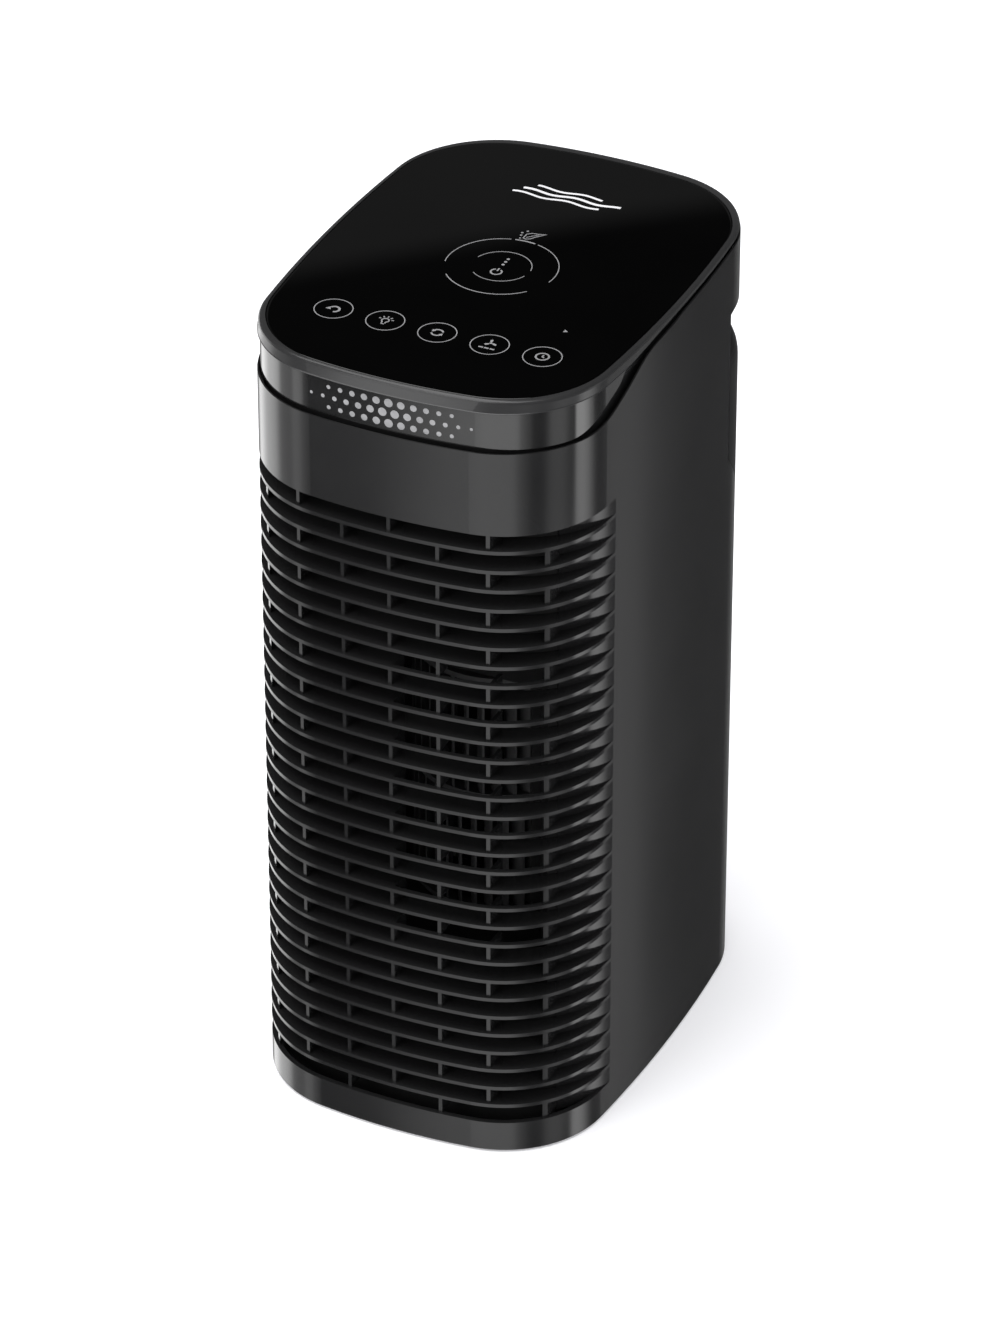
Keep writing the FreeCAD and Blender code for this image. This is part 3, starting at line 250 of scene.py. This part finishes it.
def spread(nodes, links, value, low, high, start=0.3, end=0.7):
    """Maps a noise value to a range."""
    node = nodes.new("ShaderNodeMapRange")
    node.inputs["From Min"].default_value = start
    node.inputs["From Max"].default_value = end
    node.inputs["To Min"].default_value = low
    node.inputs["To Max"].default_value = high
    links.new(value, node.inputs["Value"])
    return node.outputs["Result"]


def tint(nodes, links, value, dark, light, start=0.35, end=0.65):
    node = nodes.new("ShaderNodeValToRGB")
    node.color_ramp.elements[0].position = start
    node.color_ramp.elements[0].color = (*dark, 1.0)
    node.color_ramp.elements[1].position = end
    node.color_ramp.elements[1].color = (*light, 1.0)
    links.new(value, node.inputs["Fac"])
    return node.outputs["Color"]


def surface(name, dark, light, rough, grain=900.0, bump=0.06, depth=0.00003, cloud=14.0,
            specular=0.5, metallic=0.0, stretch=(1, 1, 1), sheen=0.0, transmission=0.0,
            emission=0.0):
    """A moulded, cast or drawn surface: slow colour drift, fine grain and uneven gloss."""
    mat, nodes, links, shader = new_material(name)
    place = nodes.new("ShaderNodeTexCoord").outputs["Object"]
    scaled = nodes.new("ShaderNodeMapping")
    scaled.inputs["Scale"].default_value = stretch
    links.new(place, scaled.inputs["Vector"])
    coords = scaled.outputs["Vector"]
    slow = noise(nodes, links, coords, cloud, 4.0)
    fine = noise(nodes, links, coords, grain, 2.0, 0.6)
    links.new(tint(nodes, links, slow, dark, light), shader.inputs["Base Color"])
    low, high = rough
    links.new(spread(nodes, links, slow, low, high), shader.inputs["Roughness"])
    if bump:
        relief = nodes.new("ShaderNodeBump")
        relief.inputs["Strength"].default_value = bump
        relief.inputs["Distance"].default_value = depth
        links.new(fine, relief.inputs["Height"])
        links.new(relief.outputs["Normal"], shader.inputs["Normal"])
    shader.inputs["Specular IOR Level"].default_value = specular
    shader.inputs["Metallic"].default_value = metallic
    shader.inputs["Sheen Weight"].default_value = sheen
    shader.inputs["Transmission Weight"].default_value = transmission
    if emission:
        links.new(tint(nodes, links, slow, dark, light), shader.inputs["Emission Color"])
        shader.inputs["Emission Strength"].default_value = emission
    return mat


def grey(v):
    return (v, v, v * 1.02)


def build_materials():
    """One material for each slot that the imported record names."""
    m = {}
    m["casing"] = surface("satin_black_casing", grey(0.013), grey(0.016), (0.12, 0.16),
                          grain=1400.0, bump=0.03, specular=0.5)
    m["black_plastic"] = surface("matt_black_plastic", grey(0.012), grey(0.016), (0.42, 0.5),
                                 grain=1100.0, bump=0.15)
    m["inner_plastic"] = surface("inner_black_plastic", grey(0.010), grey(0.014), (0.5, 0.6),
                                 grain=900.0, bump=0.1)
    m["rubber"] = surface("soft_rubber", grey(0.018), grey(0.026), (0.7, 0.85), grain=700.0, bump=0.3)
    m["screw_steel"] = surface("zinc_screws", grey(0.34), grey(0.42), (0.3, 0.42), metallic=1.0,
                               stretch=(1, 1, 14))
    m["bronze_bush"] = surface("sintered_bronze", (0.42, 0.25, 0.11), (0.5, 0.31, 0.15),
                               (0.4, 0.55), metallic=1.0, grain=2200.0, bump=0.3)
    m["motor_steel"] = surface("zinc_sheet", grey(0.38), grey(0.48), (0.3, 0.42), metallic=1.0,
                               cloud=60.0)
    m["bearing_steel"] = surface("ground_steel", grey(0.5), grey(0.58), (0.12, 0.2), metallic=1.0,
                                 stretch=(1, 1, 20))
    m["circuit_board"] = surface("solder_mask", (0.006, 0.05, 0.02), (0.01, 0.075, 0.03),
                                 (0.3, 0.4), cloud=120.0)
    m["board_parts"] = surface("component_bodies", grey(0.02), grey(0.05), (0.4, 0.55), cloud=80.0)
    m["cable_jacket"] = surface("ribbon_cable", grey(0.22), grey(0.3), (0.5, 0.6),
                                stretch=(60, 1, 1))
    m["sensor_plastic"] = surface("sensor_housing", grey(0.02), grey(0.03), (0.5, 0.6))
    m["smoked_band"] = surface("smoked_band", grey(0.009), grey(0.012), (0.03, 0.05),
                               grain=300.0, bump=0.02, specular=0.9)
    m["light_guide"] = surface("clear_guide", grey(0.8), grey(0.9), (0.08, 0.15),
                               transmission=0.9, cloud=30.0)
    m["led"] = surface("diode", grey(0.75), grey(0.9), (0.3, 0.4), cloud=200.0)
    m["rim"] = surface("satin_rim", grey(0.022), grey(0.027), (0.20, 0.25), grain=1600.0, bump=0.08)
    m["black_glass"] = surface("black_glass", grey(0.0010), grey(0.0014), (0.010, 0.016),
                               grain=60.0, bump=0.002, cloud=9.0)
    m["foam_pad"] = surface("closed_cell_foam", grey(0.03), grey(0.05), (0.8, 0.95), grain=1500.0,
                            bump=0.5, sheen=0.1)
    m["fan_plastic"] = surface("fan_plastic", grey(0.028), grey(0.036), (0.4, 0.5), grain=900.0)
    m["spring_steel"] = surface("spring_wire", grey(0.4), grey(0.5), (0.2, 0.3), metallic=1.0)
    m["latch_plastic"] = surface("latch_plastic", grey(0.02), grey(0.028), (0.38, 0.45), bump=0.12)
    m["carbon_foam"] = surface("carbon_foam", grey(0.008), grey(0.03), (0.85, 0.95), grain=520.0,
                               bump=0.9, depth=0.0004, cloud=420.0, sheen=0.05)
    m["filter_card"] = surface("filter_card", (0.6, 0.6, 0.57), (0.68, 0.68, 0.65), (0.75, 0.9),
                               grain=1200.0, bump=0.25, cloud=40.0)
    m["filter_paper"] = surface("filter_paper", (0.7, 0.7, 0.67), (0.8, 0.8, 0.77), (0.85, 0.95),
                                grain=1500.0, bump=0.35, cloud=120.0, sheen=0.05)
    m["tab_fabric"] = surface("woven_tab", (0.02, 0.05, 0.2), (0.03, 0.08, 0.28), (0.7, 0.85),
                              grain=1300.0, bump=0.7, stretch=(1, 1, 3), cloud=300.0, sheen=0.2)
    return m


MATERIALS = build_materials()
# The grey and white print also glows faintly from its emission. This is a painted glow, because the
# print is not a lamp.
PRINT = surface("grey_print_painted_glow", grey(0.22), grey(0.27), (0.4, 0.5), grain=2500.0, bump=0.05, cloud=60.0,
                emission=0.02)
BRIGHT_PRINT = surface("white_print_painted_glow", grey(0.66), grey(0.74), (0.4, 0.5), grain=2500.0, bump=0.05,
                       cloud=60.0, emission=0.04)
LIT_DOT = surface("light_dots", grey(0.26), grey(0.32), (0.35, 0.45), grain=2500.0, bump=0.05,
                  cloud=90.0, emission=0.06)
COVER = surface("matt_black_cover", grey(0.010), grey(0.013), (0.34, 0.42), grain=1300.0, bump=0.08,
                specular=0.3)

SLOT_OF = {part["node"]: part["material_slot"] for part in frame["record"]["subparts"]}
for node_name, node in frame["nodes"].items():
    node.data.materials.clear()
    node.data.materials.append(MATERIALS[SLOT_OF[node_name]])
NODES_WITH_OWN_FINISH = {"rear_cover": COVER}
for node_name, material in NODES_WITH_OWN_FINISH.items():
    frame["nodes"][node_name].data.materials[0] = material


# ------------------------------------------------------------------ control glass
def control_glass():
    """Black glass with a ground, rounded edge."""
    edge_low = GLASS_TOP - GLASS_EDGE_R
    levels = [(0.0, GLASS_LOW), (0.0, edge_low)]
    for degrees in range(15, 91, 15):
        a = math.radians(degrees)
        levels.append((GLASS_EDGE_R * (1 - math.cos(a)), edge_low + GLASS_EDGE_R * math.sin(a)))
    levels.append((GLASS_EDGE_R + 0.4, GLASS_TOP))       # keeps the shading of the top face level
    bm = bmesh.new()
    loops = []
    for inset, z in levels:
        outline = plan(GLASS_PLAN, GLASS_CORNER, inset)
        loops.append([bm.verts.new((p.x * MM, p.y * MM, z * MM)) for p in outline])
    count = len(loops[0])
    for low, high in zip(loops, loops[1:]):
        for i in range(count):
            j = (i + 1) % count
            bm.faces.new((low[i], low[j], high[j], high[i]))
    bm.faces.new(loops[-1])
    bm.faces.new(loops[0][::-1])
    glass = finish_mesh(bm, "touch_glass", MATERIALS["black_glass"], "body", 40.0)
    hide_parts("control_glass")


# ------------------------------------------------------------------ printed symbols
def key_rings():
    bm = bmesh.new()
    for k in range(-2, 3):
        ring(bm, KEY_STEP * k, KEY_Y, KEY_R, KEY_LINE)
    finish_mesh(bm, "key_rings", PRINT, "body")


def return_symbol(bm, x, y):
    stroke(bm, arc(x + 0.6, y - 0.3, 2.7, -80.0, 150.0), 1.15)
    arrow_head(bm, x - 2.6, y - 0.3, 205.0, 1.7)


def lamp_symbol(bm, x, y):
    stroke(bm, [(x - 0.9, y - 2.9), (x - 1.0, y - 1.7)] + arc(x, y + 0.2, 1.9, 232.0, -52.0)
           + [(x + 1.0, y - 1.7), (x + 0.9, y - 2.9)], 0.75)
    stroke(bm, [(x - 0.9, y - 3.6), (x + 0.9, y - 3.6)], 0.7)
    for angle in (20.0, 55.0, 90.0, 125.0, 160.0):
        stroke(bm, turned([(3.1, 0.0), (4.4, 0.0)], x, y + 0.2, angle), 0.7)


def cycle_symbol(bm, x, y):
    """Two chasing arrows, for the automatic mode."""
    for turn in (0.0, 180.0):
        stroke(bm, turned(arc(0.0, 0.0, 3.0, 25.0, 140.0), x, y, turn), 0.95)
        tip = turned([(-2.65, 1.15)], x, y, turn)[0]
        arrow_head(bm, tip[0], tip[1], 250.0 + turn, 1.35)


def fan_symbol(bm, x, y):
    """Three blades over a row of bars, for the fastest speed."""
    for k in range(3):
        blade = [(0.5, 0.0), (1.5, 1.25), (3.0, 1.35), (3.6, 0.3), (2.4, -0.15)]
        prism(bm, turned(blade, x, y + 1.6, 90.0 + 120.0 * k), PRINT_LOW, PRINT_TOP)
    dot(bm, x, y + 1.6, 0.75, 12)
    for k in range(3):
        left = x - 4.4 + 3.1 * k
        stroke(bm, [(left, y - 3.9), (left + 2.5, y - 3.9)], 1.1)


def clock_symbol(bm, x, y):
    ring(bm, x, y, 3.4, 0.95)
    stroke(bm, [(x, y + 1.9), (x, y - 0.1), (x + 1.3, y - 0.9)], 0.8)


def key_symbols():
    bm = bmesh.new()
    drawings = (return_symbol, lamp_symbol, cycle_symbol, fan_symbol, clock_symbol)
    for k, draw in enumerate(drawings):
        draw(bm, KEY_STEP * (k - 2), KEY_Y)
    arrow_head(bm, *POINTER, 115.0, 1.5)
    finish_mesh(bm, "key_symbols", PRINT, "body")


def power_dial():
    bm = bmesh.new()
    for start, end, width in ((105.0, 194.0, 0.5), (79.0, 101.0, 0.9), (75.5, -10.0, 0.5),
                              (221.0, 321.0, 0.58)):
        stroke(bm, arc(0.0, DIAL_Y, DIAL_R, start, end, 3.0), width)
    for start, end in ((7.0, 165.0), (228.0, 343.0)):
        stroke(bm, arc(0.0, DIAL_Y, DIAL_INNER_R, start, end, 4.0), 0.45)
    stroke(bm, arc(0.0, DIAL_Y - 6.4, 2.9, 118.0, 422.0), 0.9)
    stroke(bm, [(0.0, DIAL_Y - 5.4), (0.0, DIAL_Y - 2.4)], 0.85)
    for y in (2.0, 5.2, 8.4):
        dot(bm, 0.0, DIAL_Y + y, 0.85)
    finish_mesh(bm, "power_dial", PRINT, "body")


def filter_symbol():
    """A leaf with specks of dust beside it, above the dial."""
    bm = bmesh.new()
    leaf = [(-2.8, 32.6), (-1.0, 31.9), (1.2, 33.2), (2.8, 36.0), (6.6, 40.6), (2.4, 39.4),
            (-0.6, 39.0), (-2.7, 37.0)]
    stroke(bm, leaf, 0.62, closed=True)
    stroke(bm, [(-1.6, 33.6), (0.8, 36.3), (3.6, 38.9)], 0.5)
    for x, y, r in ((-5.6, 37.6, 0.7), (-5.0, 34.9, 0.7), (-3.6, 40.2, 0.65), (-4.2, 31.8, 0.55)):
        dot(bm, x, y, r, 14)
    finish_mesh(bm, "filter_symbol", PRINT, "body")


def air_motif():
    """Three rising breeze lines, a plain ornament at the rear of the glass."""
    bm = bmesh.new()
    for y, start, end, width in WAVES:
        path = []
        for i in range(WAVE_STEPS + 1):
            x = start + (end - start) * i / WAVE_STEPS
            turn = (x - WAVE_LEAN * y) * 2 * math.pi / WAVE_LENGTH
            path.append((x, y + WAVE_HEIGHT * math.sin(turn)))
        stroke(bm, path, width)
    finish_mesh(bm, "air_motif", BRIGHT_PRINT, "body")


# ------------------------------------------------------------------ indicator
def indicator_dots():
    """Shallow round lenses set in the smoked band, in three staggered rows."""
    bm = bmesh.new()
    radius = R_FRONT - BAND_INSET
    axis_y = -HALF_D + R_FRONT
    for z, count, scale in DOT_ROWS:
        for k in range(count):
            along = DOT_PITCH * (k - (count - 1) / 2)
            size = DOT_BIGGEST - DOT_SHRINK * min(1.0, abs(along) / DOT_REACH) ** DOT_EASE
            add_lens(bm, along, z, size * scale, radius, axis_y)
    finish_mesh(bm, "indicator_dots", LIT_DOT, "body", smooth_angle=50.0)


def add_lens(bm, along, z, size, radius, axis_y):
    sides = 20
    shape = ((1.0, -0.15), (1.0, 0.03), (0.82, 0.09), (0.45, 0.13))
    rings = []
    for share, proud in shape:
        loop = []
        for k in range(sides):
            a = 2 * math.pi * k / sides
            turn = (along + size * share * math.cos(a)) / radius
            r = radius + proud
            loop.append(bm.verts.new((r * math.sin(turn) * MM, (axis_y - r * math.cos(turn)) * MM,
                                      (z + size * share * math.sin(a)) * MM)))
        rings.append(loop)
    for low, high in zip(rings, rings[1:]):
        for i in range(sides):
            j = (i + 1) % sides
            bm.faces.new((low[i], low[j], high[j], high[i]))
    bm.faces.new(rings[-1])
    bm.faces.new(rings[0][::-1])


control_glass()
key_rings()
key_symbols()
power_dial()
filter_symbol()
air_motif()
indicator_dots()


# ------------------------------------------------------------------ floor, light and camera
def studio_floor():
    bm = bmesh.new()
    bmesh.ops.create_grid(bm, x_segments=8, y_segments=8, size=9.0)
    mesh = bpy.data.meshes.new("studio_floor")
    bm.to_mesh(mesh)
    bm.free()
    floor = bpy.data.objects.new("studio_floor", mesh)
    bpy.context.scene.collection.objects.link(floor)
    mesh.materials.append(surface("pale_floor", grey(0.90), grey(0.92), (0.85, 0.95), grain=200.0,
                                  bump=0.0, specular=0.1, cloud=1.5, emission=0.3))
    floor.visible_glossy = False


def facing(place, target):
    return (Vector(target) - Vector(place)).to_track_quat("-Z", "Y").to_euler()


def soft_box(name, place, target, width, height, watts):
    data = bpy.data.lights.new(name, "AREA")
    data.shape = "RECTANGLE"
    data.size = width
    data.size_y = height
    data.energy = watts
    lamp = bpy.data.objects.new(name, data)
    bpy.context.scene.collection.objects.link(lamp)
    lamp.location = place
    lamp.rotation_euler = facing(place, target)
    lamp.visible_camera = False


# What the gloss sees round the studio below eye level: degrees to the right of the front, radiance.
PANELS = ((-180.0, 0.3), (-160.0, 0.2), (-148.0, 0.25), (-139.0, 0.5), (-132.0, 1.8), (-120.0, 2.9),
          (-106.0, 2.5), (-97.0, 2.7), (-86.0, 2.1), (-78.0, 0.9), (-68.0, 0.8), (-59.0, 1.4),
          (-50.0, 0.8), (-42.0, 0.1), (-33.0, 0.15), (-24.0, 0.6), (-10.0, 1.3), (5.0, 1.7),
          (28.0, 1.7), (38.0, 1.0), (47.0, 0.45), (57.0, 0.12), (66.0, 0.4), (77.0, 0.85),
          (90.0, 0.5), (96.0, 0.35), (101.5, 2.8), (112.0, 2.2), (122.0, 0.8), (133.0, 0.12),
          (140.0, 0.15), (147.0, 0.5), (153.0, 0.15), (163.0, 0.08), (180.0, 0.25))
PANEL_PEAK = 3.0
# Above eye level the glass sees a pale wall that ends at a level slanting with x.
WALL_TOP = (0.4130, 0.4178)
WALL_SLANT = 0.167
WALL_RADIANCE = 0.105
DARK_RADIANCE = 0.006
EYE_LEVEL = (-0.06, 0.10)      # the panels fade into the wall between these


def math_node(nodes, links, kind, a, b):
    """A Math node; each of a and b is a number or another node's output."""
    node = nodes.new("ShaderNodeMath")
    node.operation = kind
    for socket, value in zip(node.inputs, (a, b)):
        if isinstance(value, (int, float)):
            socket.default_value = value
        else:
            links.new(value, socket)
    return node.outputs[0]


def panel_radiance(nodes, links, x, y):
    """The upright panels, by the angle round the object."""
    angle = math_node(nodes, links, "ARCTAN2", x, math_node(nodes, links, "MULTIPLY", y, -1.0))
    share = math_node(nodes, links, "DIVIDE", angle, 2 * math.pi)
    ramp = nodes.new("ShaderNodeFloatCurve")
    points = ramp.mapping.curves[0].points
    values = [((a + 180.0) / 360.0, v / PANEL_PEAK) for a, v in PANELS]
    points[0].location, points[1].location = values[0], values[-1]
    for value in values[1:-1]:
        points.new(*value)
    for point in points:
        point.handle_type = "AUTO_CLAMPED"
    ramp.mapping.update()
    links.new(math_node(nodes, links, "ADD", share, 0.5), ramp.inputs["Value"])
    return math_node(nodes, links, "MULTIPLY", ramp.outputs[0], PANEL_PEAK)


def wall_radiance(nodes, links, x, z):
    """The wall above the panels, and the dark over it."""
    edge = nodes.new("ShaderNodeMapRange")
    edge.interpolation_type = "SMOOTHSTEP"
    edge.inputs["From Min"].default_value, edge.inputs["From Max"].default_value = WALL_TOP
    edge.inputs["To Min"].default_value = WALL_RADIANCE
    edge.inputs["To Max"].default_value = DARK_RADIANCE
    slant = math_node(nodes, links, "MULTIPLY", x, WALL_SLANT)
    links.new(math_node(nodes, links, "ADD", z, slant), edge.inputs["Value"])
    return edge.outputs[0]


def gloss_radiance(nodes, links):
    """Panels below eye level, blending into the wall above it."""
    way = nodes.new("ShaderNodeSeparateXYZ")
    links.new(nodes.new("ShaderNodeTexCoord").outputs["Generated"], way.inputs[0])
    x, y, z = way.outputs
    above = spread(nodes, links, z, 0.0, 1.0, *EYE_LEVEL)
    below = math_node(nodes, links, "SUBTRACT", 1.0, above)
    panels = math_node(nodes, links, "MULTIPLY", panel_radiance(nodes, links, x, y), below)
    wall = math_node(nodes, links, "MULTIPLY", wall_radiance(nodes, links, x, z), above)
    return math_node(nodes, links, "ADD", panels, wall)


def background(nodes, colour, strength):
    node = nodes.new("ShaderNodeBackground")
    node.inputs["Color"].default_value = (*colour, 1.0)
    node.inputs["Strength"].default_value = strength
    return node


def choose(nodes, links, share, when_no, when_yes):
    mix = nodes.new("ShaderNodeMixShader")
    links.new(share, mix.inputs[0])
    links.new(when_no, mix.inputs[1])
    links.new(when_yes, mix.inputs[2])
    return mix.outputs[0]


def studio_world():
    """A pale room; polished surfaces see upright panels set round the object."""
    world = bpy.data.worlds.new("studio")
    bpy.context.scene.world = world
    world.use_nodes = True
    nodes, links = world.node_tree.nodes, world.node_tree.links
    nodes.clear()
    glossy = background(nodes, (0.8, 0.8, 0.8), 1.0)
    links.new(gloss_radiance(nodes, links), glossy.inputs["Strength"])
    room = background(nodes, (0.93, 0.93, 0.94), 0.9)
    seen = background(nodes, (0.95, 0.95, 0.955), 1.0)
    path = nodes.new("ShaderNodeLightPath")
    light = choose(nodes, links, path.outputs["Is Glossy Ray"], room.outputs[0], glossy.outputs[0])
    light = choose(nodes, links, path.outputs["Is Camera Ray"], light, seen.outputs[0])
    out = nodes.new("ShaderNodeOutputWorld")
    links.new(light, out.inputs["Surface"])


def photo_camera():
    data = bpy.data.cameras.new("camera")
    data.sensor_width = 36.0
    data.lens = CAMERA_LENS
    data.clip_end = 50.0
    cam = bpy.data.objects.new("camera", data)
    bpy.context.scene.collection.objects.link(cam)
    cam.location = CAMERA_PLACE
    cam.rotation_euler = facing(CAMERA_PLACE, CAMERA_TARGET)
    bpy.context.scene.camera = cam


studio_floor()
studio_world()
soft_box("top_box", (-0.5, -0.6, 2.6), (0.0, 0.0, 0.2), 2.2, 2.2, 48.0)
soft_box("front_box", (-0.9, -2.4, 1.2), (0.0, 0.0, 0.25), 1.2, 1.6, 12.0)
photo_camera()
view = bpy.context.scene.view_settings
view.view_transform = "Standard"
view.look = "None"
